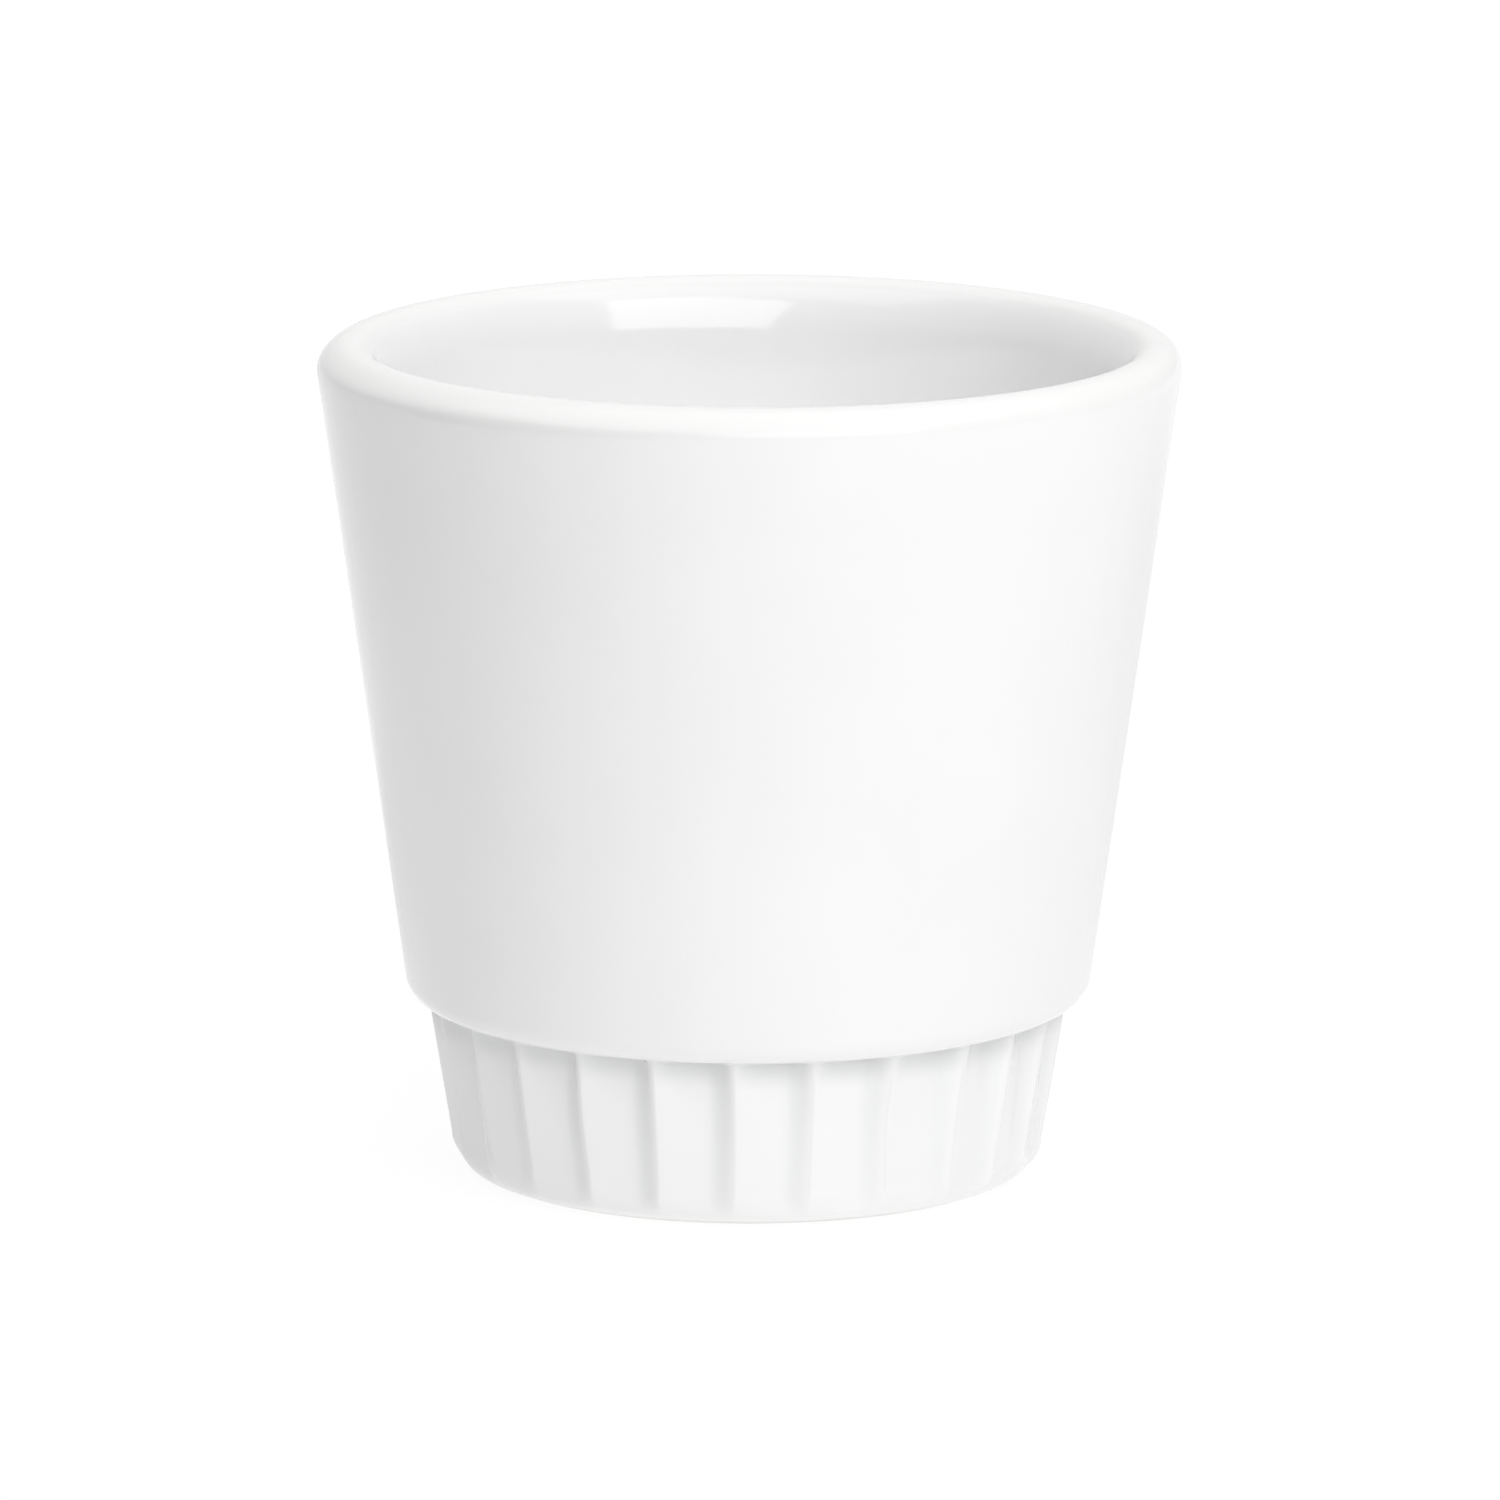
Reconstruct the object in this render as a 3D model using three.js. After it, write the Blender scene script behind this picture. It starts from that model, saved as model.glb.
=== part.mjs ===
// A small tapered porcelain ramekin that stands on a fluted foot.
// Millimetres, +Z up. The origin is the centre of the foot ring, on the surface that the ramekin stands on.
//
// The ramekin is a fired clay body under a thin coat of glaze. The glaze stops at the bare ring that the
// ramekin stands on, so it is two separate layers: one over the inside, the lip, the wall and the foot, and
// one in the hollow under the foot. Each layer feathers out to nothing at the bare ring.
import * as THREE from "three";

// ---- driving dimensions, in millimetres, of the finished (glazed) surface ----
const RIM_RADIUS = 37.5; // widest radius, on the outside of the lip
const HEIGHT = 73.0; // top of the lip
const WALL_SLOPE = 0.1412; // radius gained for each millimetre of height, outside and inside

const LIP_OUT = 2.43; // the lip's crest lies this far inside the widest radius
const LIP_OUT_DROP = 2.31; // and its outer round falls this far
const LIP_PEAK = 34.7; // where the lip starts to fall inwards
// The lip's inner side, in three rounds: radius, and how far in degrees the surface leans back from upright
// where each starts and ends. The last one runs out into the inner wall.
const LIP_ROUNDS = [
  [1.95, 90, 41],
  [6.0, 41, 29],
  [8.5, 29, 8.04],
];

const SHOULDER_Z = 15.1; // underside of the shoulder
const SHOULDER_ROUND = 2.48; // radius between the wall and that underside

const FOOT_TOP_RADIUS = 27.95; // crest of the flutes under the shoulder
const FOOT_LOW_RADIUS = 26.08; // crest of the flutes where the bottom edge starts to turn in
const FOOT_EDGE_HEIGHT = 3.91; // the turned-in bottom edge is a quarter ellipse this high
const FOOT_EDGE_WIDTH = 3.12; // and this wide

// Each flute is a flat that starts at a crest and sinks to one side, like a pleat, and a short riser that
// climbs from its deep edge to the next crest.
const FLUTE_DEPTH = 0.95; // of the deep edge below the crest circle, near the top of the foot
const FLUTE_BITE = 0.35; // how much deeper it is right under the shoulder
const FLUTE_DEPTH_LOW = 0.54; // the same where the bottom edge starts to turn in
const FLUTE_RISER = 0.15; // share of a flute's width that its riser takes
// Crests of the flutes, in degrees from the front (-Y) towards +X. They were tooled by eye, so they aren't
// quite even; the ones round the back are spread evenly over what is left.
const CRESTS_FRONT = [
  -73.4, -58.8, -45.6, -31.9, -17.7, -2.5, 11.8, 26.8, 42.0, 55.0, 67.8, 80.6,
];
const FLUTES = 26;

const FLOOR_Z = 9.5; // inside floor
const FLOOR_ROUND = 14; // radius between the inside wall and the floor

const RING_INNER_RADIUS = 19.9; // inner edge of the flat ring that the ramekin stands on
const RING_INNER_ROUND = 0.9; // that edge's round
const HOLLOW_Z = 4.5; // ceiling of the hollow under the foot
const HOLLOW_RADIUS = 16.4; // where the flat of that ceiling starts

const GLAZE = 0.25; // thickness of the glaze

// ---- the profile ----
const deg = THREE.MathUtils.degToRad;

// Points of an ellipse round (r, z), at the given parameters in degrees.
function arc(r, z, width, height, degrees) {
  const curve = new THREE.EllipseCurve(r, z, width, height, 0, 2 * Math.PI);
  return degrees.map((d) =>
    curve.getPoint(THREE.MathUtils.euclideanModulo(d, 360) / 360),
  );
}

// Lip, outside: from its crest down to where the plain wall is tangent to it.
const lipR = RIM_RADIUS - LIP_OUT;
const outEnd = -THREE.MathUtils.radToDeg(
  Math.atan2(WALL_SLOPE * LIP_OUT_DROP, LIP_OUT),
);
const lipOut = arc(lipR, HEIGHT - LIP_OUT_DROP, LIP_OUT, LIP_OUT_DROP, [
  90,
  62,
  35,
  12,
  outEnd,
]);
// Lip, inside: from where the inner wall is tangent to it up to its crest.
const lipIn = [new THREE.Vector2(LIP_PEAK, HEIGHT)];
for (const [radius, from, to] of LIP_ROUNDS) {
  const start = lipIn[lipIn.length - 1];
  for (const share of radius < 3 ? [0.36, 0.7, 1] : radius < 7 ? [1] : [0.5, 1]) {
    const lean = deg(THREE.MathUtils.lerp(from, to, share));
    lipIn.push(
      new THREE.Vector2(
        start.x - radius * (Math.cos(lean) - Math.cos(deg(from))),
        start.y - radius * (Math.sin(deg(from)) - Math.sin(lean)),
      ),
    );
  }
}
lipIn.reverse();

// Inside: flat floor, then the round up to the inner wall.
const slant = Math.atan(WALL_SLOPE);
const wallFootZ = FLOOR_Z + FLOOR_ROUND * (1 - Math.sin(slant));
const wallFootR = lipIn[0].x - WALL_SLOPE * (lipIn[0].y - wallFootZ);
const floorR = wallFootR - FLOOR_ROUND * Math.cos(slant);
const slantDeg = THREE.MathUtils.radToDeg(slant);
const inside = arc(
  floorR,
  FLOOR_Z + FLOOR_ROUND,
  FLOOR_ROUND,
  FLOOR_ROUND,
  [-90, -69, -48, -27, -slantDeg],
);

// Shoulder: from the plain wall to just short of the top of the flutes.
const wall = lipOut[lipOut.length - 1];
const shoulderTopZ = SHOULDER_Z + SHOULDER_ROUND * (1 - Math.sin(slant));
const shoulderTopR = wall.x - WALL_SLOPE * (wall.y - shoulderTopZ);
const shoulder = arc(
  shoulderTopR - SHOULDER_ROUND * Math.cos(slant),
  SHOULDER_Z + SHOULDER_ROUND,
  SHOULDER_ROUND,
  SHOULDER_ROUND,
  [-slantDeg, -29, -50, -70],
);

// Foot: the straight crests, then the turned-in bottom edge.
const footSlope =
  (FOOT_TOP_RADIUS - FOOT_LOW_RADIUS) / (SHOULDER_Z - FOOT_EDGE_HEIGHT);
const edgeStart = -THREE.MathUtils.radToDeg(
  Math.atan2(footSlope * FOOT_EDGE_HEIGHT, FOOT_EDGE_WIDTH),
);
const ringR = FOOT_LOW_RADIUS - FOOT_EDGE_WIDTH;
const edge = arc(
  ringR,
  FOOT_EDGE_HEIGHT,
  FOOT_EDGE_WIDTH,
  FOOT_EDGE_HEIGHT,
  [edgeStart, -32, -50, -66, -90],
);
const footTop = new THREE.Vector2(FOOT_TOP_RADIUS, SHOULDER_Z);

// The hollow under the foot, from the ring's inner edge to the ceiling.
const ringEdge = arc(
  RING_INNER_RADIUS,
  RING_INNER_ROUND,
  RING_INNER_ROUND,
  RING_INNER_ROUND,
  [-90, -135, -175],
);
const hollow = [
  new THREE.Vector2(18.65, 2.5),
  new THREE.Vector2(17.95, 3.85),
  new THREE.Vector2(HOLLOW_RADIUS, HOLLOW_Z),
];

// ---- rings of points ----
// The rows run from the middle of the inside floor, up the inside, over the lip, down the outside, across
// the bare ring, and through the hollow to its middle. cut is the flute depth in a row, and glaze its
// share of the full coat.
const PLAIN = "plain";
const FLUTED = "fluted";
const row = (p, kind, glaze, cut = 0) => ({ r: p.x, z: p.y, kind, glaze, cut });

const coatRows = [
  { r: 0, z: FLOOR_Z, kind: PLAIN, glaze: 1, cut: 0 },
  ...inside.map((p) => row(p, PLAIN, 1)),
  ...lipIn.map((p) => row(p, PLAIN, 1)),
  ...lipOut.map((p) => row(p, PLAIN, 1)),
  ...shoulder.map((p) => row(p, PLAIN, 1)),
  ...[0, 0.22, 0.6].map((t) =>
    row(
      footTop.clone().lerp(edge[0], t),
      FLUTED,
      1,
      THREE.MathUtils.lerp(FLUTE_DEPTH, FLUTE_DEPTH_LOW, t) +
        (t === 0 ? FLUTE_BITE : 0),
    ),
  ),
  row(edge[0], FLUTED, 1, FLUTE_DEPTH_LOW),
  row(edge[1], FLUTED, 1, 0.65 * FLUTE_DEPTH_LOW),
  row(edge[2], FLUTED, 0.6, 0.15 * FLUTE_DEPTH_LOW),
  row(edge[3], FLUTED, 0),
];
const ringRows = [row(edge[4], PLAIN, 0), row(ringEdge[0], PLAIN, 0)];
const hollowRows = [
  row(ringEdge[1], PLAIN, 0),
  row(ringEdge[2], PLAIN, 0.7),
  ...hollow.map((p) => row(p, PLAIN, 1)),
  { r: 0, z: HOLLOW_Z, kind: PLAIN, glaze: 1, cut: 0 },
];

// Crest angles all the way round, closed by the first crest one turn on.
const crests = [...CRESTS_FRONT];
const lastFront = CRESTS_FRONT[CRESTS_FRONT.length - 1];
const backFlutes = FLUTES - CRESTS_FRONT.length + 1;
const backPitch = (360 + CRESTS_FRONT[0] - lastFront) / backFlutes;
for (let i = 1; i < backFlutes; i++) crests.push(lastFront + i * backPitch);
crests.push(CRESTS_FRONT[0] + 360);

// One ring: points with their angle, or a single point where the row is on the axis.
function ring({ r, z, kind, cut }) {
  if (r === 0) return [{ a: 0, p: new THREE.Vector3(0, 0, z) }];
  const shares =
    kind === FLUTED
      ? [
          [0, 0],
          [1 - FLUTE_RISER, 1],
        ]
      : [
          [0, 0],
          [0.5, 0],
        ];
  const points = [];
  for (let k = 0; k < FLUTES; k++)
    for (const [u, deep] of shares) {
      const a = THREE.MathUtils.lerp(crests[k], crests[k + 1], u);
      const radius = r - deep * cut;
      points.push({
        a,
        p: new THREE.Vector3(
          radius * Math.sin(deg(a)),
          -radius * Math.cos(deg(a)),
          z,
        ),
      });
    }
  return points;
}

const rows = [...coatRows, ...ringRows, ...hollowRows];
const finished = rows.map(ring);

// Triangles between neighbouring rings, as index triples into one list of points. Where two rings have
// different counts, the ring whose next point comes first is stepped first.
const firstIndex = [];
let count = 0;
for (const points of finished) {
  firstIndex.push(count);
  count += points.length;
}
function strip(i) {
  const A = finished[i];
  const B = finished[i + 1];
  const a0 = firstIndex[i];
  const b0 = firstIndex[i + 1];
  const out = [];
  if (A.length === 1) {
    B.forEach((_, j) => out.push([a0, b0 + j, b0 + ((j + 1) % B.length)]));
    return out;
  }
  if (B.length === 1) {
    A.forEach((_, j) => out.push([a0 + j, b0, a0 + ((j + 1) % A.length)]));
    return out;
  }
  const angle = (points, j) =>
    j === points.length ? points[0].a + 360 : points[j].a;
  let j = 0;
  let k = 0;
  while (j < A.length || k < B.length) {
    const stepA =
      k === B.length || (j < A.length && angle(A, j + 1) <= angle(B, k + 1));
    const a = a0 + (j % A.length);
    const b = b0 + (k % B.length);
    if (stepA) out.push([a, b, a0 + (++j % A.length)]);
    else out.push([a, b, b0 + (++k % B.length)]);
  }
  return out;
}
const strips = finished.slice(0, -1).map((_, i) => strip(i));

// Outward normals of the finished surface, from the faces round each point.
const outer = finished.flat().map(({ p }) => p);
const normals = outer.map(() => new THREE.Vector3());
for (const triangles of strips)
  for (const [a, b, c] of triangles) {
    const n = new THREE.Vector3()
      .subVectors(outer[b], outer[a])
      .cross(new THREE.Vector3().subVectors(outer[c], outer[a]));
    for (const i of [a, b, c]) normals[i].add(n);
  }
normals.forEach((n) => n.normalize());

// The clay's own surface lies under the finished one by the thickness of the glaze.
const clay = [];
finished.forEach((points, i) => {
  for (const { p } of points) {
    const n = normals[clay.length];
    clay.push(p.clone().addScaledVector(n, -GLAZE * rows[i].glaze));
  }
});

// ---- solids ----
function surface(faces) {
  const positions = [];
  for (const [points, triangles, flip] of faces)
    for (const [a, b, c] of triangles)
      for (const i of flip ? [a, c, b] : [a, b, c])
        positions.push(points[i].x, points[i].y, points[i].z);
  const geometry = new THREE.BufferGeometry();
  geometry.setAttribute(
    "position",
    new THREE.Float32BufferAttribute(positions, 3),
  );
  geometry.computeVertexNormals();
  return geometry;
}
const coatStrips = strips.slice(0, coatRows.length - 1).flat();
const hollowStrips = strips.slice(coatRows.length + ringRows.length).flat();

const glazed = {
  color: 0xf6f6f5,
  roughness: 0.1,
  metalness: 0,
};
function piece(name, geometry, material) {
  const mesh = new THREE.Mesh(
    geometry,
    new THREE.MeshStandardMaterial(material),
  );
  mesh.name = name;
  return mesh;
}

const ramekin = new THREE.Group();
ramekin.name = "ramekin";
ramekin.add(
  piece("porcelain_body", surface([[clay, strips.flat(), false]]), {
    color: 0xe9e7e2,
    roughness: 0.65,
    metalness: 0,
  }),
  piece(
    "glaze_coat",
    surface([
      [outer, coatStrips, false],
      [clay, coatStrips, true],
    ]),
    glazed,
  ),
  piece(
    "underside_glaze",
    surface([
      [outer, hollowStrips, false],
      [clay, hollowStrips, true],
    ]),
    glazed,
  ),
);

export default ramekin;
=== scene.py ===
import math

import bpy
import numpy as np
from mathutils import Matrix, Vector


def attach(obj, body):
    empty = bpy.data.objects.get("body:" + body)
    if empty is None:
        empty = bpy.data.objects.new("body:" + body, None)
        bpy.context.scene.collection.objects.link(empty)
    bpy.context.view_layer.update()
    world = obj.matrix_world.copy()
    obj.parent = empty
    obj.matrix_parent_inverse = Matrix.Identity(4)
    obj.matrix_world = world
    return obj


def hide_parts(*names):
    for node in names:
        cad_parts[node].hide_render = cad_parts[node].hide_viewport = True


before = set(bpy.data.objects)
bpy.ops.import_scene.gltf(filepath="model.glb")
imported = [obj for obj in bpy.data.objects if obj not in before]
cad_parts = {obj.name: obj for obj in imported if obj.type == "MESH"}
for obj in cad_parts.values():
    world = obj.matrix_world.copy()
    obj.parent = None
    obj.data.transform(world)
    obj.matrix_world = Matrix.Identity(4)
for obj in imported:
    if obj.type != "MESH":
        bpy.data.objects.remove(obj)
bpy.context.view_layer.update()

# ---------------------------------------------------------------- dimensions of the finished surface
RIM_RADIUS = 37.5
HEIGHT = 73.0
WALL_SLOPE = 0.1412
LIP_OUT, LIP_OUT_DROP = 2.43, 2.31
LIP_PEAK = 34.85
LIP_ARCS = ((1.95, 90, 41), (6.0, 41, 29), (8.5, 29, 8.04))  # radius, and the lean of the surface from and to
SHOULDER_Z, SHOULDER_ROUND = 15.1, 2.48
FOOT_TOP_RADIUS, FOOT_LOW_RADIUS = 27.95, 26.08
FOOT_EDGE_HEIGHT, FOOT_EDGE_WIDTH = 3.91, 3.12
FLUTE_DEPTH, FLUTE_DEPTH_LOW = 1.3, 0.54
FLUTE_BITE = 0.32  # how much deeper the tool went in right under the shoulder
CRESTS_FRONT = [-73.4, -58.8, -45.6, -31.9, -17.7, -2.5, 11.8, 26.8, 42.0, 55.0, 67.8, 80.6]
FLUTES = 26
FLOOR_Z, FLOOR_ROUND = 9.5, 14.0
RING_INNER_RADIUS, RING_INNER_ROUND = 19.9, 0.9
HOLLOW_Z, HOLLOW_RADIUS = 4.5, 16.4
GLAZE = 0.25

PLAIN_COLUMNS = FLUTES * 8
MM = 0.001
random = np.random.default_rng(26)


def smooth(x, low, high):
    t = np.clip((np.asarray(x, float) - low) / (high - low), 0, 1)
    return t * t * (3 - 2 * t)


def arc(r, z, width, height, degrees):
    t = np.radians(np.asarray(degrees, float))
    return np.column_stack([r + width * np.cos(t), z + height * np.sin(t)])


def bezier(p0, p1, p2, p3, t):
    t = np.asarray(t, float)[:, None]
    p0, p1, p2, p3 = (np.asarray(p, float) for p in (p0, p1, p2, p3))
    return (1 - t) ** 3 * p0 + 3 * t * (1 - t) ** 2 * p1 + 3 * t * t * (1 - t) * p2 + t**3 * p3


# ---------------------------------------------------------------- the turned profile
slant = math.atan(WALL_SLOPE)
slant_deg = math.degrees(slant)

lip_r = RIM_RADIUS - LIP_OUT
out_end = -math.degrees(math.atan2(WALL_SLOPE * LIP_OUT_DROP, LIP_OUT))
lip_out = arc(lip_r, HEIGHT - LIP_OUT_DROP, LIP_OUT, LIP_OUT_DROP, np.linspace(90, out_end, 15))
lip_in = [(LIP_PEAK, HEIGHT)]
for (radius, begin, end), steps in zip(LIP_ARCS, (8, 4, 6)):
    r, z = lip_in[-1]
    for lean in np.radians(np.linspace(begin, end, steps + 1)[1:]):
        lip_in.append((r - radius * (math.cos(lean) - math.cos(math.radians(begin))), z - radius * (math.sin(math.radians(begin)) - math.sin(lean))))
lip_in = np.array(lip_in[::-1])

wall_foot_z = FLOOR_Z + FLOOR_ROUND * (1 - math.sin(slant))
wall_foot_r = lip_in[0, 0] - WALL_SLOPE * (lip_in[0, 1] - wall_foot_z)
floor_r = wall_foot_r - FLOOR_ROUND * math.cos(slant)
inside_floor = np.array([[r, FLOOR_Z] for r in (0.0, 2.5, 5.5, 9.0)])
inside_round = arc(floor_r, FLOOR_Z + FLOOR_ROUND, FLOOR_ROUND, FLOOR_ROUND, np.linspace(-90, -slant_deg, 17))
t = np.linspace(0, 1, 14)[1:-1, None]
inside_wall = (1 - t) * inside_round[-1] + t * lip_in[0]

shoulder_r = lip_out[-1, 0] - WALL_SLOPE * (
    lip_out[-1, 1] - SHOULDER_Z - SHOULDER_ROUND * (1 - math.sin(slant))
) - SHOULDER_ROUND * math.cos(slant)
UNDER = -80.0  # where the shoulder's underside hands over to the corner above the foot
shoulder = arc(
    shoulder_r, SHOULDER_Z + SHOULDER_ROUND, SHOULDER_ROUND, SHOULDER_ROUND,
    np.linspace(-slant_deg, UNDER, 14),
)
t = np.linspace(0, 1, 20)[1:-1, None]
outside_wall = (1 - t) * lip_out[-1] + t * shoulder[0]

foot_slope = (FOOT_TOP_RADIUS - FOOT_LOW_RADIUS) / (SHOULDER_Z - FOOT_EDGE_HEIGHT)
edge_start = -math.degrees(math.atan2(foot_slope * FOOT_EDGE_HEIGHT, FOOT_EDGE_WIDTH))
ring_r = FOOT_LOW_RADIUS - FOOT_EDGE_WIDTH


def foot_edge(degrees):
    return arc(ring_r, FOOT_EDGE_HEIGHT, FOOT_EDGE_WIDTH, FOOT_EDGE_HEIGHT, degrees)


# ---------------------------------------------------------------- the flutes
# Crest angles all the way round, closed by the first crest one turn on. The flutes were tooled by eye.
crests = list(CRESTS_FRONT)
back = FLUTES - len(CRESTS_FRONT) + 1
pitch = (360 + CRESTS_FRONT[0] - CRESTS_FRONT[-1]) / back
crests += [CRESTS_FRONT[-1] + i * pitch for i in range(1, back)]
crests = np.array(crests)
deepness = 1 + random.normal(0, 0.07, FLUTES)  # of each flute
wander = random.normal(0, 1, (FLUTES, 3))  # of each crest line from its straight course

# Across one flute, u runs from its crest (0) to the next (1). The flat sinks from the crest, turns up in a
# wide hollow, and a short riser ends in the next, tightly rounded crest. section is 0 at the crest and -1 at
# the deepest line.
HOLLOW_FROM, HOLLOW_TO = 0.62, 0.90
CREST_FROM, CREST_TO = 0.935, 1.065
u_fine = np.linspace(0, 1, 4001)


def rise(u):
    up = smooth(u, HOLLOW_FROM, HOLLOW_TO) * (1 - smooth(u, CREST_FROM, CREST_TO))
    return up + (1 - smooth(u, CREST_FROM - 1, CREST_TO - 1)) * (u < 0.5)


share = float(np.mean((rise(u_fine)[1:] + rise(u_fine)[:-1]) / 2))
slope = -1 + rise(u_fine) / share
section = np.concatenate([[0], np.cumsum((slope[1:] + slope[:-1]) / 2 * np.diff(u_fine))])
section -= section.max()
section /= -section.min()
# A flat lies inside the arc between its ends by the arc's own rise.
flat = -np.clip(u_fine / 0.8, 0, 1) * np.clip(1 - u_fine / 0.8, 0, 1) * 4
FLUTE_U = np.array(
    [0, 0.02, 0.045, 0.08, 0.14, 0.24, 0.36, 0.48, 0.58, 0.66, 0.72, 0.78, 0.84, 0.89, 0.93, 0.965]
)
FLUTED_COLUMNS = FLUTES * len(FLUTE_U)


def crest_lines(z):
    """Angle of every crest at a height."""
    t = (z - 2) / 13
    waves = wander[:, 0] * math.sin(2.1 * t + 0.4) + wander[:, 1] * math.sin(5.3 * t + 1.7)
    return crests + 0.16 * waves + 0.10 * wander[:, 2]


def fluted(z):
    """Angles and depths, below the crest circle, of every column of the foot at a height."""
    line = crest_lines(z)
    width = np.diff(np.append(line, line[0] + 360))
    angle = (line[:, None] + width[:, None] * FLUTE_U).ravel()
    top = smooth(z, 2.6, 3.6) * (FLUTE_DEPTH_LOW + (FLUTE_DEPTH - FLUTE_DEPTH_LOW) * np.clip((z - 3.1) / 12, 0, 1) ** 1.4)
    low = FLUTE_DEPTH_LOW * smooth(z, 0.4, 2.7)
    deep = max(top, low) if z > 3.4 else low
    rise_of_arc = 27.3 * np.radians(0.8 * width) ** 2 / 8 * float(smooth(z, 0.4, 2.7))
    cut = (deep * deepness)[:, None] * np.interp(FLUTE_U, u_fine, section)
    cut = cut + rise_of_arc[:, None] * np.interp(FLUTE_U, u_fine, flat)
    bite = FLUTE_BITE * float(smooth(z, 10.5, 15.5)) * smooth(FLUTE_U, 0.0, 0.3) * (1 - smooth(FLUTE_U, 0.8, 0.985))
    cut = cut - deepness[:, None] * bite
    return angle, cut.ravel()


# ---------------------------------------------------------------- rings of points
# A ring is (angles, radii, heights, glaze, clay): glaze is the thickness of the coat over the clay in that
# row, and clay the radii and heights of the clay itself where they don't follow from that.
def sway(angle, z):
    """How far the turned form strays from a true circle, radially: a few hundredths of a millimetre."""
    a = np.radians(angle)
    return 0.035 * np.sin(2 * a + 0.7 + 0.02 * z) + 0.022 * np.sin(3 * a - 1.1 - 0.05 * z) + 0.012 * np.sin(
        5 * a + 0.11 * z
    )


OFF_RIGHT, OFF_BACK = 0.3, 0.7  # where the inside and the lip's crest were shaped, off the axis of the outside


def plain(p, columns=PLAIN_COLUMNS, glaze=GLAZE, swayed=1.0, off=0.0):
    r, z = float(p[0]), float(p[1])
    if r == 0:
        return np.zeros(1), np.zeros(1), np.full(1, z), glaze, None
    angle = crests[0] + np.arange(columns) * 360 / columns
    up = 0.03 * np.sin(2 * np.radians(angle) + 2.0) * smooth(z, 60, HEIGHT) if swayed else 0
    a = np.radians(angle)
    r = r + swayed * sway(angle, z) + off * (OFF_RIGHT * np.sin(a) - OFF_BACK * np.cos(a))
    return angle, r, z + up + np.zeros(columns), glaze, None


rows = [plain(p, PLAIN_COLUMNS // 2, swayed=0) for p in inside_floor]
rows += [plain(p, swayed=0.5, off=t) for p, t in zip(inside_round, np.linspace(0, 1, len(inside_round)))]
rows += [plain(p, swayed=0.8, off=1.0) for p in inside_wall]
rows += [plain(p, off=1.0) for p in lip_in]
rows += [plain(p, off=float(smooth(p[1], HEIGHT - 1.9, HEIGHT))) for p in lip_out]
rows += [plain(p) for p in outside_wall]
rows += [plain(p, swayed=0.6) for p in shoulder[:-1]]

# From the shoulder's underside round the corner to the fluted foot. The corner follows each flute in.
CORNER_Z = 14.72
heading = np.array([math.sin(math.radians(UNDER)), -math.cos(math.radians(UNDER))])
angle, cut = fluted(CORNER_Z)
foot_r = FOOT_TOP_RADIUS - foot_slope * (SHOULDER_Z - CORNER_Z) + cut
corner = []
for r in foot_r:
    start, end = shoulder[-1], np.array([r, CORNER_Z])
    reach = 0.55 * (start[0] - r)
    corner.append(
        bezier(start, start + reach * heading, end + [foot_slope * 0.2, 0.2], end, np.linspace(0, 1, 9))
    )
corner = np.array(corner)
rows += [(angle, corner[:, i, 0], corner[:, i, 1], GLAZE, None) for i in range(corner.shape[1])]

# The foot, then its turned-in bottom edge to where the glaze ends in a thin rounded edge.
edge_top = foot_edge([edge_start])[0]
for z in np.linspace(CORNER_Z, edge_top[1], 17)[1:]:
    angle, cut = fluted(z)
    rows.append((angle, FOOT_TOP_RADIUS - foot_slope * (SHOULDER_Z - z) + cut, np.full(len(angle), z), GLAZE, None))
GLAZE_END, GLAZE_BEAD, BEAD = -67.0, 5.0, 0.13
for d in [-18, -24, -30, -36, -42, -48, -54, -58, *(GLAZE_END + GLAZE_BEAD * np.array([1, 0.72, 0.46, 0.24, 0.08]))]:
    (r, z), = foot_edge([d])
    angle, cut = fluted(z)
    s = np.clip((GLAZE_END + GLAZE_BEAD - d) / GLAZE_BEAD, 0, 1)
    sunk = BEAD * (1 - math.sqrt(1 - s * s))
    n = np.array([math.cos(math.radians(d)) / FOOT_EDGE_WIDTH, math.sin(math.radians(d)) / FOOT_EDGE_HEIGHT])
    n /= np.linalg.norm(n)
    deep = BEAD + (GLAZE - BEAD) * float(smooth(d, -62, -30))
    rows.append(
        (angle, r - sunk * n[0] + cut, np.full(len(angle), z - sunk * n[1]), deep - sunk, (r - deep * n[0] + cut, z - deep * n[1]))
    )


# The bare clay: from the glaze's end over the flat ring to the glaze of the hollow.
def bare_edge(d, columns):
    (r, z), = foot_edge([d])
    n = np.array([math.cos(math.radians(d)) / FOOT_EDGE_WIDTH, math.sin(math.radians(d)) / FOOT_EDGE_HEIGHT])
    n /= np.linalg.norm(n)
    sunk = BEAD * float(smooth(d, -86, GLAZE_END))
    if columns == FLUTED_COLUMNS:
        angle = fluted(0.3)[0]
        return angle, np.full(columns, r - sunk * n[0]), np.full(columns, z - sunk * n[1]), 0.0, None
    return plain([r - sunk * n[0], z - sunk * n[1]], columns, 0.0, 0)


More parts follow.
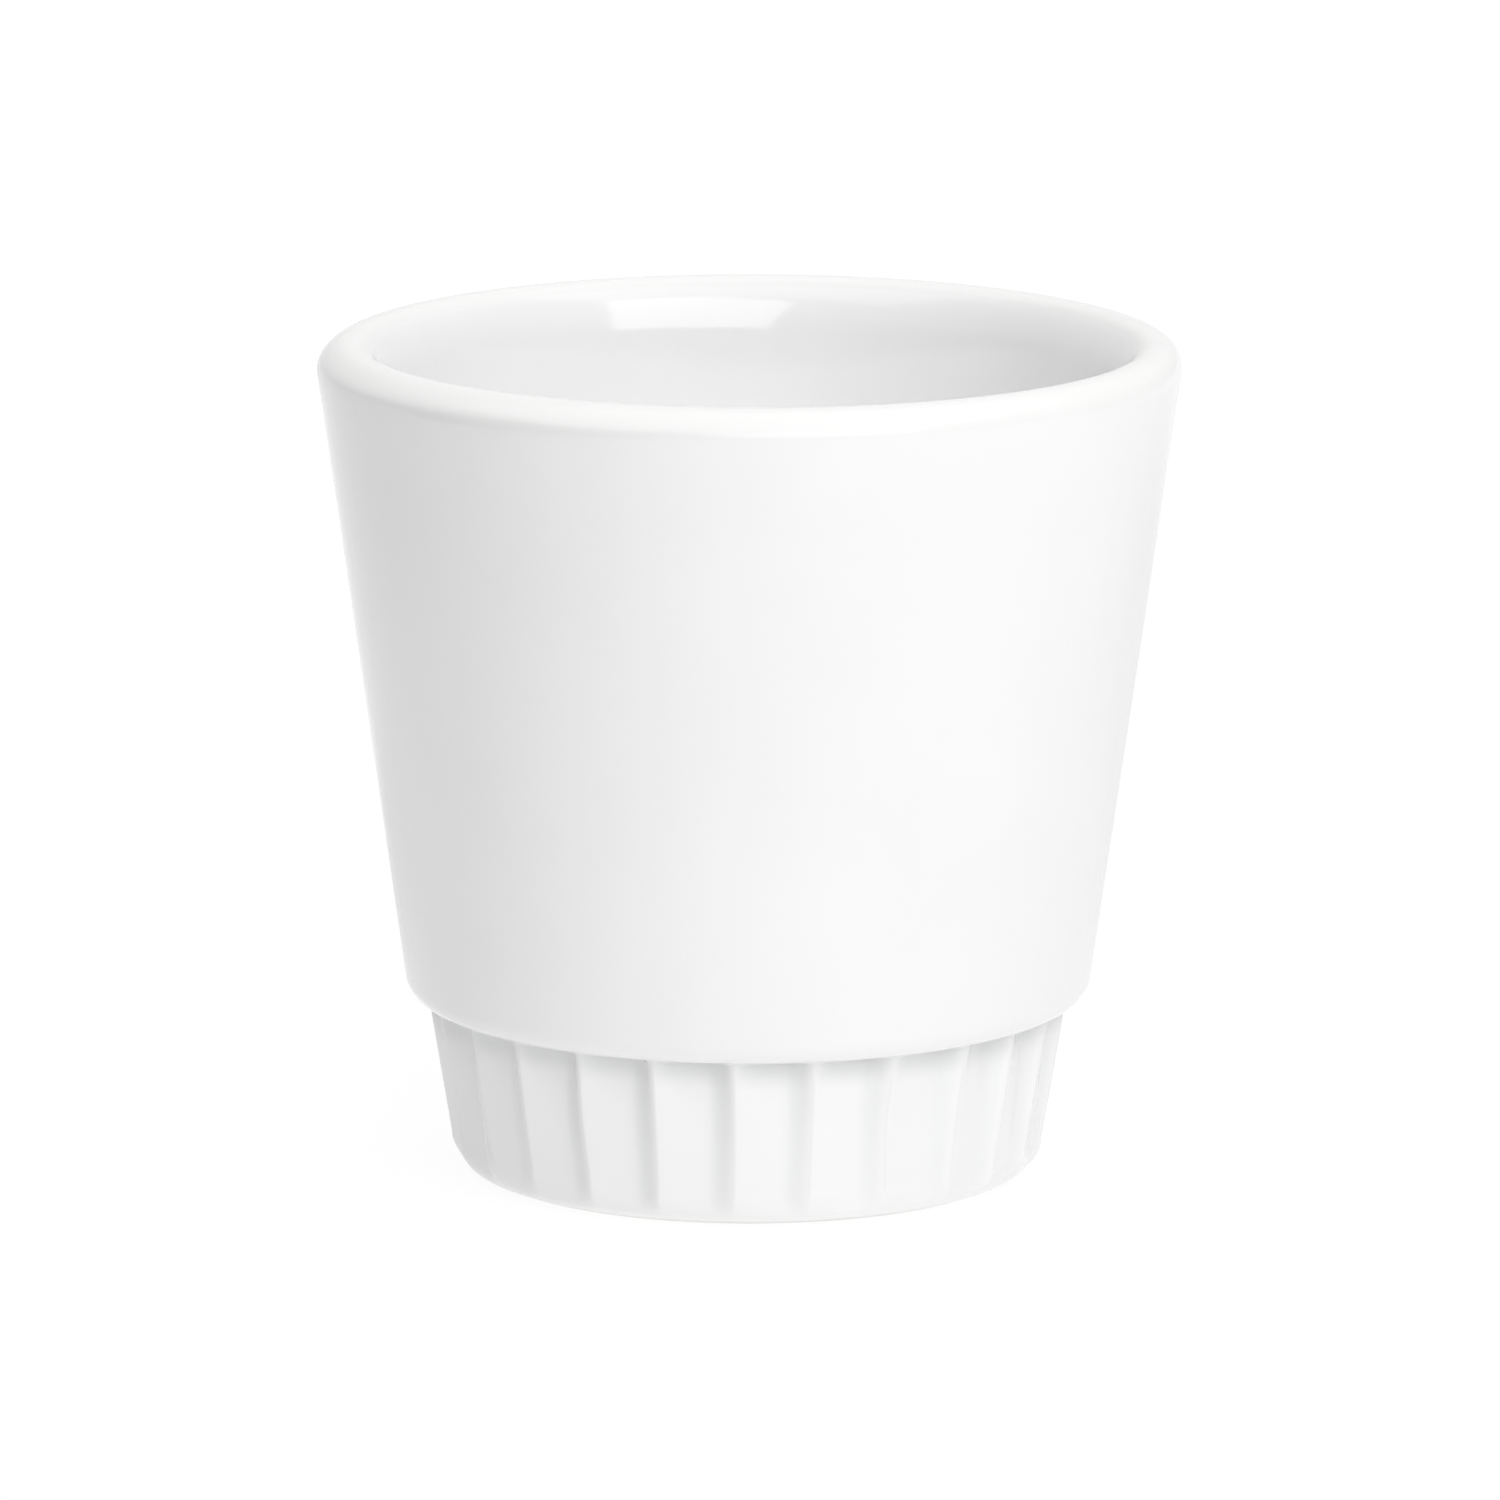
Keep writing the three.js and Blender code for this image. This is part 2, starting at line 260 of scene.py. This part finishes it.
rows.append(bare_edge(GLAZE_END, FLUTED_COLUMNS))
coat_end = len(rows) - 1
rows += [bare_edge(d, PLAIN_COLUMNS) for d in (-70, -74, -78, -82, -86, -90)]
rows += [plain([r, 0.0], PLAIN_COLUMNS, 0.0, 0) for r in (22.2, 21.4, 20.6, RING_INNER_RADIUS)]
ring_edge = arc(RING_INNER_RADIUS, RING_INNER_ROUND, RING_INNER_ROUND, RING_INNER_ROUND, [-104, -118, -132])
rows += [plain(p, PLAIN_COLUMNS, 0.0, 0) for p in ring_edge]
hollow_start = len(rows) - 1
ring_edge = arc(RING_INNER_RADIUS, RING_INNER_ROUND, RING_INNER_ROUND, RING_INNER_ROUND, [-135, -140, -150, -162, -175])
rows += [plain(p, PLAIN_COLUMNS, thick, 0) for p, thick in zip(ring_edge, (0.05, 0.09, 0.14, 0.2, GLAZE))]
for p in bezier(ring_edge[-1], (18.75, 2.6), (18.45, HOLLOW_Z), (HOLLOW_RADIUS, HOLLOW_Z), np.linspace(0, 1, 14)[1:]):
    rows.append(plain(p, PLAIN_COLUMNS, GLAZE, 0))
rows += [plain([r, HOLLOW_Z], PLAIN_COLUMNS // 2, GLAZE, 0) for r in (13.0, 9.0, 5.0, 2.0, 0.0)]



def ring_points(angle, r, z):
    a = np.radians(angle)
    return np.column_stack([r * np.sin(a), -r * np.cos(a), z + 0 * a])


first = np.concatenate([[0], np.cumsum([len(row[0]) for row in rows])])
angle_of = np.concatenate([row[0] for row in rows])
row_of = np.concatenate([np.full(len(row[0]), i) for i, row in enumerate(rows)])
outer = np.concatenate([ring_points(*row[:3]) for row in rows])
mean_rz = np.array([[row[1].mean(), row[2].mean()] for row in rows])
along = np.concatenate([[0], np.cumsum(np.hypot(*np.diff(mean_rz, axis=0).T))])  # length down the profile


def strip(i):
    """Faces between ring i and the next, wound to face out of the clay."""
    A, B = rows[i][0], rows[i + 1][0]
    a0, b0, na, nb = first[i], first[i + 1], len(A), len(B)
    j = np.arange(max(na, nb))
    if na == 1:
        return np.column_stack([0 * j + a0, b0 + j, b0 + (j + 1) % nb])
    if nb == 1:
        return np.column_stack([a0 + j, 0 * j + b0, a0 + (j + 1) % na])
    if na == nb:
        return np.column_stack([a0 + j, b0 + j, b0 + (j + 1) % nb, a0 + (j + 1) % na])
    A, B = np.append(A, A[0] + 360), np.append(B, B[0] + 360)
    faces, j, k = [], 0, 0
    while j < na or k < nb:
        a, b = a0 + j % na, b0 + k % nb
        if k == nb or (j < na and A[j + 1] <= B[k + 1]):
            j += 1
            faces.append((a, b, a0 + j % na))
        else:
            k += 1
            faces.append((a, b, b0 + k % nb))
    return np.array(faces)


strips = [strip(i) for i in range(len(rows) - 1)]

# Normals of the finished surface, and the clay's own surface under the glaze.
normals = np.zeros_like(outer)
for f in strips:
    n = np.cross(outer[f[:, 1]] - outer[f[:, 0]], outer[f[:, 2]] - outer[f[:, 0]])
    if f.shape[1] == 4:
        n = n + np.cross(outer[f[:, 2]] - outer[f[:, 0]], outer[f[:, 3]] - outer[f[:, 0]])
    for c in range(f.shape[1]):
        np.add.at(normals, f[:, c], n)
normals /= np.linalg.norm(normals, axis=1)[:, None]
thickness = np.concatenate([np.full(len(row[0]), row[3]) for row in rows])
clay = outer - thickness[:, None] * normals
for i, row in enumerate(rows):
    if row[4] is not None:
        clay[first[i] : first[i + 1]] = ring_points(row[0], *row[4])

# How much glaze has run together, or drawn thinner, at every point: along the deep line of each flute, in the corner
# under the shoulder and round the inside floor;
# and over the crests and the lip. Both masks also carry painted shade: the colour greys the recesses and the lit lip
# and crests.
bowl = len(inside_floor) + len(inside_round) - 1  # the row where the inside wall starts
pool_and_painted_shade = np.zeros(len(outer))
thin_and_painted_shade = np.zeros(len(outer))
painted_shade_tops = np.zeros(len(outer))  # painted shade: the upper ends of the flutes under the shoulder's overhang, where its shadow falls
radius = np.hypot(outer[:, 0], outer[:, 1])
height = outer[:, 2]
for i, (angle, r, z, _, _) in enumerate(rows[: coat_end + 1]):
    at = slice(first[i], first[i + 1])
    if len(angle) == FLUTED_COLUMNS:
        u = np.tile(FLUTE_U, FLUTES)
        fade = smooth(z, 0.8, 3.5)
        pool_and_painted_shade[at] = fade * smooth(u, 0.6, 0.82) * (1 - smooth(u, 0.86, 0.95))
        pool_and_painted_shade[at] = np.maximum(pool_and_painted_shade[at], smooth(z, 13.6, 14.9))
        painted_shade_tops[at] = smooth(z, 12.5, 14.4) * (1 - smooth(z, 14.9, 15.1)) * (0.4 + 0.6 * smooth(u, 0.0, 0.2) * (1 - smooth(u, 0.86, 0.98)))
        thin_and_painted_shade[at] = fade * np.maximum(1 - smooth(u, 0.0, 0.09), smooth(u, 0.945, 0.99)) * (1 - smooth(z, 13.8, 14.8))
inside = (radius < wall_foot_r + 2) & (height > 8) & (height < 26) & (np.arange(len(outer)) < first[40])
pool_and_painted_shade[inside] = np.maximum(pool_and_painted_shade[inside], 0.8 * np.exp(-(((height[inside] - 11.5) / 3.5) ** 2)))
lip = (height > HEIGHT - 5.6) & (np.arange(len(outer)) < first[coat_end])
on_outside = np.arange(len(outer)) >= first[bowl + 1 + len(inside_wall) + len(lip_in)]
thin_and_painted_shade[lip] = np.maximum(thin_and_painted_shade[lip], smooth(height[lip], HEIGHT - np.where(on_outside[lip], 5.5, 1.6), HEIGHT - 0.3))


# ---------------------------------------------------------------- meshes
# Each piece has a flat map of its surface: turned stretches are unrolled, and floors and ceilings lie as
# discs. What shows takes most of the map.
def unrolled(corner, width, tall, start, end):
    def place(f):
        a = angle_of[f]
        a = a[:, :1] + (a - a[:, :1] + 180) % 360 - 180
        t = (along[row_of[f]] - along[start]) / (along[end] - along[start])
        return np.stack([corner[0] + (a - crests[0]) / 360 * width, corner[1] + t * tall], -1)

    return place


def disc(centre, size, middle, edge):
    def place(f):
        rho = np.abs(along[row_of[f]] - along[middle]) / abs(along[edge] - along[middle]) * size
        a = np.radians(angle_of[f])
        return np.stack([centre[0] + rho * np.sin(a), centre[1] + rho * np.cos(a)], -1)

    return place


def make(name, skins, border=None, with_glaze=False):
    """A closed mesh from skins: (points, [(from row, to row, map)], facing in). Where the glaze has no
    thickness, the second skin takes the points of the first, and that border is a sharp edge."""
    points, source, faces, sizes, places = [], [], [], [], []
    number = np.full(len(outer), -1)
    count = 0
    for k, (co, stretches, flip) in enumerate(skins):
        used = np.zeros(len(outer), bool)
        for start, end, _ in stretches:
            for f in strips[start:end]:
                used[f.ravel()] = True
        fresh = used & (thickness > 0) if k else used
        number = np.where(fresh, count + np.cumsum(fresh) - 1, np.where(used, number, -1) if k else -1)
        points.append(co[fresh] * MM)
        source.append(np.flatnonzero(fresh))
        count += int(fresh.sum())
        for start, end, place in stretches:
            for f in strips[start:end]:
                uv = place(f)
                if flip:
                    f, uv = f[:, ::-1], uv[:, ::-1]
                faces.append(number[f].ravel())
                sizes.append(np.full(len(f), f.shape[1]))
                places.append(uv.reshape(-1, 2))
    points, source = np.concatenate(points), np.concatenate(source)
    faces, sizes, places = np.concatenate(faces), np.concatenate(sizes), np.concatenate(places)
    mesh = bpy.data.meshes.new(name)
    mesh.vertices.add(len(points))
    mesh.vertices.foreach_set("co", points.astype(np.float32).ravel())
    mesh.loops.add(len(faces))
    mesh.loops.foreach_set("vertex_index", faces.astype(np.int32))
    mesh.polygons.add(len(sizes))
    mesh.polygons.foreach_set("loop_start", (np.cumsum(sizes) - sizes).astype(np.int32))
    mesh.polygons.foreach_set("use_smooth", np.ones(len(sizes), bool))
    mesh.update(calc_edges=True)
    mesh.uv_layers.new(name="OFBake").data.foreach_set("uv", places.astype(np.float32).ravel())
    if with_glaze:
        for title, values in (("pool_and_painted_shade", pool_and_painted_shade), ("thin_and_painted_shade", thin_and_painted_shade), ("painted_shade_tops", painted_shade_tops)):
            mesh.attributes.new(title, "FLOAT", "POINT").data.foreach_set("value", values[source].astype(np.float32))
    if border is not None:
        ends = np.zeros(len(mesh.edges) * 2, np.int32)
        mesh.edges.foreach_get("vertices", ends)
        on = row_of[source[ends]] == border
        sharp = on[::2] & on[1::2]
        mesh.attributes.new("sharp_edge", "BOOLEAN", "EDGE").data.foreach_set("value", sharp)
    if mesh.validate():
        raise ValueError(name + " has faces that don't fit together")
    piece = bpy.data.objects.new(name, mesh)
    bpy.context.scene.collection.objects.link(piece)
    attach(piece, "root")
    return piece


last = len(rows) - 1
body = make(
    "porcelain_body_fine",
    [
        (
            clay,
            [
                (0, bowl, disc((0.42, 0.40), 0.07, 0, bowl)),
                (bowl, coat_end, unrolled((0.34, 0.50), 0.32, 0.18, bowl, coat_end)),
                (coat_end, hollow_start, disc((0.5, 0.5), 0.485, last, coat_end)),
                (hollow_start, last, disc((0.60, 0.40), 0.07, last, hollow_start)),
            ],
            False,
        )
    ],
)
coat = make(
    "glaze_coat_fine",
    [
        (
            outer,
            [
                (0, bowl, disc((0.165, 0.185), 0.155, 0, bowl)),
                (bowl, coat_end, unrolled((0.01, 0.37), 0.98, 0.62, bowl, coat_end)),
            ],
            False,
        ),
        (
            clay,
            [
                (0, bowl, disc((0.88, 0.14), 0.08, 0, bowl)),
                (bowl, coat_end, unrolled((0.37, 0.04), 0.36, 0.24, bowl, coat_end)),
            ],
            True,
        ),
    ],
    coat_end,
    with_glaze=True,
)
under = make(
    "underside_glaze_fine",
    [
        (outer, [(hollow_start, last, disc((0.46, 0.46), 0.44, last, hollow_start))], False),
        (clay, [(hollow_start, last, disc((0.93, 0.93), 0.055, last, hollow_start))], True),
    ],
    hollow_start,
    with_glaze=True,
)
for piece, node, slot in (
    (body, "porcelain_body", "porcelain"),
    (coat, "glaze_coat", "glaze"),
    (under, "underside_glaze", "glaze"),
):
    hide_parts(node)


# ---------------------------------------------------------------- finishes
def material(name):
    m = bpy.data.materials.new(name)
    m.use_nodes = True
    tree = m.node_tree
    tree.nodes.clear()
    output = tree.nodes.new("ShaderNodeOutputMaterial")
    shader = tree.nodes.new("ShaderNodeBsdfPrincipled")
    tree.links.new(shader.outputs["BSDF"], output.inputs["Surface"])
    return m, tree, shader


def node(tree, kind, inputs=None, **settings):
    n = tree.nodes.new(kind)
    for key, value in settings.items():
        setattr(n, key, value)
    for key, value in (inputs or {}).items():
        if isinstance(value, bpy.types.NodeSocket):
            tree.links.new(value, n.inputs[key])
        else:
            n.inputs[key].default_value = value
    return n


def noise(tree, place, scale, detail=2.0, roughness=0.5):
    return node(
        tree, "ShaderNodeTexNoise", {"Vector": place, "Scale": scale, "Detail": detail, "Roughness": roughness}
    ).outputs["Fac"]


def remap(tree, value, low, high, to_low, to_high):
    return node(
        tree, "ShaderNodeMapRange",
        {"Value": value, "From Min": low, "From Max": high, "To Min": to_low, "To Max": to_high},
        clamp=True,
    ).outputs["Result"]


def math_node(tree, operation, a, b):
    return node(tree, "ShaderNodeMath", {0: a, 1: b}, operation=operation).outputs["Value"]


def mix(tree, share_of, a, b):
    n = node(tree, "ShaderNodeMix", data_type="RGBA")
    for key, value in ((0, share_of), (6, a), (7, b)):
        if isinstance(value, bpy.types.NodeSocket):
            tree.links.new(value, n.inputs[key])
        else:
            n.inputs[key].default_value = value
    return n.outputs[2]


# Glossy neutral white glaze, rougher where it has drawn thinner over the lip and the crests. It is a shade greyer
# there, and where it has run together;
# that greying is partly painted shade. It has the faint ripple of a fired glaze, and a rare pinhole.
glaze, tree, shader = material("white_glaze")
place = node(tree, "ShaderNodeTexCoord").outputs["Object"]
cloud = noise(tree, place, 55.0, 3.0, 0.55)
colour = mix(tree, remap(tree, cloud, 0.35, 0.65, 0.0, 1.0), (0.912, 0.912, 0.910, 1), (0.928, 0.928, 0.928, 1))
pooled_and_painted_shade = node(tree, "ShaderNodeAttribute", attribute_name="pool_and_painted_shade").outputs["Fac"]
thinned_and_painted_shade = node(tree, "ShaderNodeAttribute", attribute_name="thin_and_painted_shade").outputs["Fac"]
# Partly painted shade: where the glaze runs together, in the recesses where shade falls, it is painted a cooler, greyer
# white.
colour = mix(tree, remap(tree, pooled_and_painted_shade, 0.0, 1.0, 0.0, 0.6), colour, (0.880, 0.884, 0.888, 1))
# Painted shade: the upper ends of the flutes right under the shoulder are painted a greyer white, standing in for the
# shadow of the shoulder's overhang.
painted_shade_under_shoulder = node(tree, "ShaderNodeAttribute", attribute_name="painted_shade_tops").outputs["Fac"]
colour = mix(tree, painted_shade_under_shoulder, colour, (0.812, 0.815, 0.818, 1))
# Partly painted shade: the lip and the crests of the flutes, where the glaze is thinner and catches the most light, are
# painted a shade greyer.
colour = mix(tree, remap(tree, thinned_and_painted_shade, 0.6, 1.0, 0.0, 0.75), colour, (0.868, 0.866, 0.860, 1))
# Light that enters the lip glows through the wall for a few millimetres below it.
level = node(tree, "ShaderNodeSeparateXYZ", {0: place}).outputs["Z"]
through = math_node(tree, "MULTIPLY", remap(tree, level, 0.0630, 0.0700, 0.0, 0.25), remap(tree, level, 0.0698, 0.0724, 1.0, 0.0))
colour = mix(tree, through, colour, (0.966, 0.966, 0.964, 1))
cells = node(tree, "ShaderNodeTexVoronoi", {"Vector": place, "Scale": 95.0}, feature="F1")
pick = noise(tree, place, 40.0, 0.0)
hole = math_node(
    tree, "MULTIPLY", remap(tree, cells.outputs["Distance"], 0.012, 0.022, 1.0, 0.0), remap(tree, pick, 0.60, 0.63, 0.0, 1.0)
)
colour = mix(tree, remap(tree, hole, 0.0, 1.0, 0.0, 0.45), colour, (0.60, 0.59, 0.57, 1))
tree.links.new(colour, shader.inputs["Base Color"])
gloss = math_node(
    tree, "ADD", remap(tree, noise(tree, place, 120.0, 4.0, 0.6), 0.3, 0.7, 0.060, 0.105), remap(tree, thinned_and_painted_shade, 0.0, 0.9, 0.0, 0.15)
)
tree.links.new(gloss, shader.inputs["Roughness"])
tree.links.new(remap(tree, thinned_and_painted_shade, 0.2, 0.95, 0.5, 0.3), shader.inputs["Specular IOR Level"])
ripple = math_node(
    tree, "ADD",
    math_node(tree, "MULTIPLY", noise(tree, place, 210.0, 1.0, 0.4), 1.0),
    math_node(tree, "MULTIPLY", noise(tree, place, 900.0, 1.0, 0.4), 0.12),
)
ripple = math_node(tree, "SUBTRACT", ripple, math_node(tree, "MULTIPLY", hole, 3.0))
bump = node(tree, "ShaderNodeBump", {"Height": ripple, "Strength": 1.0, "Distance": 0.000012})
tree.links.new(bump.outputs["Normal"], shader.inputs["Normal"])
shader.inputs["IOR"].default_value = 1.5

# Bare fired clay: matt, fine-grained, rubbed a little grey on the ring that it stands on.
biscuit, tree, shader = material("bare_porcelain")
place = node(tree, "ShaderNodeTexCoord").outputs["Object"]
grain = noise(tree, place, 2600.0, 3.0, 0.6)
cloud = noise(tree, place, 160.0, 3.0, 0.6)
colour = mix(tree, remap(tree, cloud, 0.3, 0.7, 0.0, 1.0), (0.80, 0.79, 0.755, 1), (0.83, 0.82, 0.795, 1))
colour = mix(tree, remap(tree, grain, 0.42, 0.30, 0.0, 0.5), colour, (0.66, 0.645, 0.61, 1))
parts = node(tree, "ShaderNodeSeparateXYZ", {0: place})
flat_down = remap(tree, parts.outputs["Z"], 0.00035, 0.00002, 0.0, 1.0)
rub = remap(tree, noise(tree, place, 420.0, 5.0, 0.7), 0.52, 0.68, 0.0, 0.55)
colour = mix(tree, math_node(tree, "MULTIPLY", flat_down, rub), colour, (0.60, 0.595, 0.58, 1))
tree.links.new(colour, shader.inputs["Base Color"])
tree.links.new(remap(tree, grain, 0.3, 0.7, 0.62, 0.8), shader.inputs["Roughness"])
bump = node(tree, "ShaderNodeBump", {"Height": grain, "Strength": 0.6, "Distance": 0.00006})
tree.links.new(bump.outputs["Normal"], shader.inputs["Normal"])

body.data.materials.append(biscuit)
coat.data.materials.append(glaze)
under.data.materials.append(glaze)

# ---------------------------------------------------------------- studio
FLOOR_GLOW, FAR_GLOW = 0.895, 1.06  # the paper is lit from below, more so towards the horizon
floor_mesh = bpy.data.meshes.new("floor")
s = 6.0
floor_mesh.from_pydata([(-s, -s, -5e-5), (s, -s, -5e-5), (s, s, -5e-5), (-s, s, -5e-5)], [], [(0, 1, 2, 3)])
floor = bpy.data.objects.new("floor", floor_mesh)
bpy.context.scene.collection.objects.link(floor)
paper, tree, shader = material("white_floor")
shader.inputs["Base Color"].default_value = (0.12, 0.12, 0.12, 1)
shader.inputs["Roughness"].default_value = 1.0
shader.inputs["Specular IOR Level"].default_value = 0.0
shader.inputs["Emission Color"].default_value = (1, 1, 1, 1)
place = node(tree, "ShaderNodeTexCoord").outputs["Object"]
out = node(tree, "ShaderNodeVectorMath", {0: place}, operation="LENGTH").outputs["Value"]
glow = remap(tree, out, 0.25, 1.3, FLOOR_GLOW, FAR_GLOW)
# The paper lies in shade close to the foot on the left, and behind it on both sides, and gives less light back
# there. The camera sees white.
spots = [
    remap(
        tree, node(tree, "ShaderNodeVectorMath", {0: place, 1: middle}, operation="DISTANCE").outputs["Value"], near, far, least, 1.0
    )
    for middle, near, far, least in (
        ((-0.031, 0.003, 0.0), 0.008, 0.032, 0.83),
        ((0.088, 0.17, 0.0), 0.06, 0.14, 0.88),
        ((-0.064, 0.10, 0.0), 0.02, 0.06, 0.85),
    )
]
dimmed = math_node(tree, "MULTIPLY", math_node(tree, "MULTIPLY", spots[0], spots[1]), spots[2])
shade = math_node(tree, "MAXIMUM", dimmed, node(tree, "ShaderNodeLightPath").outputs["Is Camera Ray"])
tree.links.new(math_node(tree, "MULTIPLY", glow, shade), shader.inputs["Emission Strength"])
floor_mesh.materials.append(paper)

world = bpy.data.worlds.new("studio")
bpy.context.scene.world = world
world.use_nodes = True
tree = world.node_tree
tree.nodes.clear()
output = tree.nodes.new("ShaderNodeOutputWorld")
# The room is dim, with a paler wall behind.
way = node(tree, "ShaderNodeSeparateXYZ", {0: node(tree, "ShaderNodeTexCoord").outputs["Generated"]}).outputs["Y"]
dim = remap(tree, way, 0.0, 0.7, 0.147, 0.81)
room = node(tree, "ShaderNodeBackground", {"Color": (1, 1, 1, 1), "Strength": dim})
white = node(tree, "ShaderNodeBackground", {"Color": (1, 1, 1, 1), "Strength": 1.05})
path = node(tree, "ShaderNodeLightPath")
choice = node(tree, "ShaderNodeMixShader", {0: path.outputs["Is Camera Ray"], 1: room.outputs[0], 2: white.outputs[0]})
tree.links.new(choice.outputs[0], output.inputs["Surface"])


def softbox(name, azimuth, elevation, distance, width, tall, radiance):
    """A flat soft light, azimuth degrees to the right of the camera, facing the ramekin."""
    light = bpy.data.lights.new(name, "AREA")
    light.shape = "RECTANGLE"
    light.size, light.size_y = width, tall
    light.energy = radiance * math.pi * width * tall
    lamp = bpy.data.objects.new(name, light)
    a, e = math.radians(azimuth), math.radians(elevation)
    away = Vector((math.sin(a) * math.cos(e), -math.cos(a) * math.cos(e), math.sin(e)))
    lamp.location = Vector((0, 0, 0.04)) + away * distance
    lamp.rotation_mode = "QUATERNION"
    lamp.rotation_quaternion = away.to_track_quat("Z", "Y")
    lamp.visible_camera = False
    bpy.context.scene.collection.objects.link(lamp)
    return lamp


softbox("key", 20, 32, 1.6, 1.5, 1.05, 2.73)
softbox("over", 0, 86, 1.6, 2.7, 2.3, 1.15)
softbox("back_left", -150, 50, 1.6, 1.0, 1.0, 0.20)


def dark_card(name, azimuth, distance, width, tall):
    """An upright black card that keeps light off one side of the ramekin. The camera doesn't see it."""
    a = math.radians(azimuth)
    middle = Vector((math.sin(a), -math.cos(a), 0)) * distance
    side = Vector((math.cos(a), math.sin(a), 0)) * (width / 2)
    up = Vector((0, 0, tall))
    mesh = bpy.data.meshes.new(name)
    mesh.from_pydata([middle - side, middle + side, middle + side + up, middle - side + up], [], [(0, 1, 2, 3)])
    card = bpy.data.objects.new(name, mesh)
    bpy.context.scene.collection.objects.link(card)
    card.visible_camera = False
    black, _, shader = material(name)
    shader.inputs["Base Color"].default_value = (0.02, 0.02, 0.02, 1)
    shader.inputs["Roughness"].default_value = 1.0
    mesh.materials.append(black)


dark_card("dark_card", -60, 0.26, 0.36, 0.30)

# ---------------------------------------------------------------- camera
ELEVATION, DISTANCE, AIM = 11.3234, 1.125, Vector((0, 0, 0.03687))
eye = bpy.data.cameras.new("camera")
eye.sensor_fit = "HORIZONTAL"
eye.sensor_width = 36.0
eye.lens = 309.83
eye.shift_x = 0.00086
eye.clip_start, eye.clip_end = 0.05, 50.0
camera = bpy.data.objects.new("camera", eye)
e = math.radians(ELEVATION)
away = Vector((0, -math.cos(e), math.sin(e)))
camera.location = AIM + away * DISTANCE
turn = (-away).to_track_quat("-Z", "Y").to_matrix().to_4x4() @ Matrix.Rotation(math.radians(0.1245), 4, "Z")
camera.rotation_mode = "QUATERNION"
camera.rotation_quaternion = turn.to_quaternion()
bpy.context.scene.collection.objects.link(camera)
bpy.context.scene.camera = camera

view = bpy.context.scene.view_settings
view.view_transform = "Standard"
view.look = "None"
view.exposure, view.gamma = 0.0, 1.0
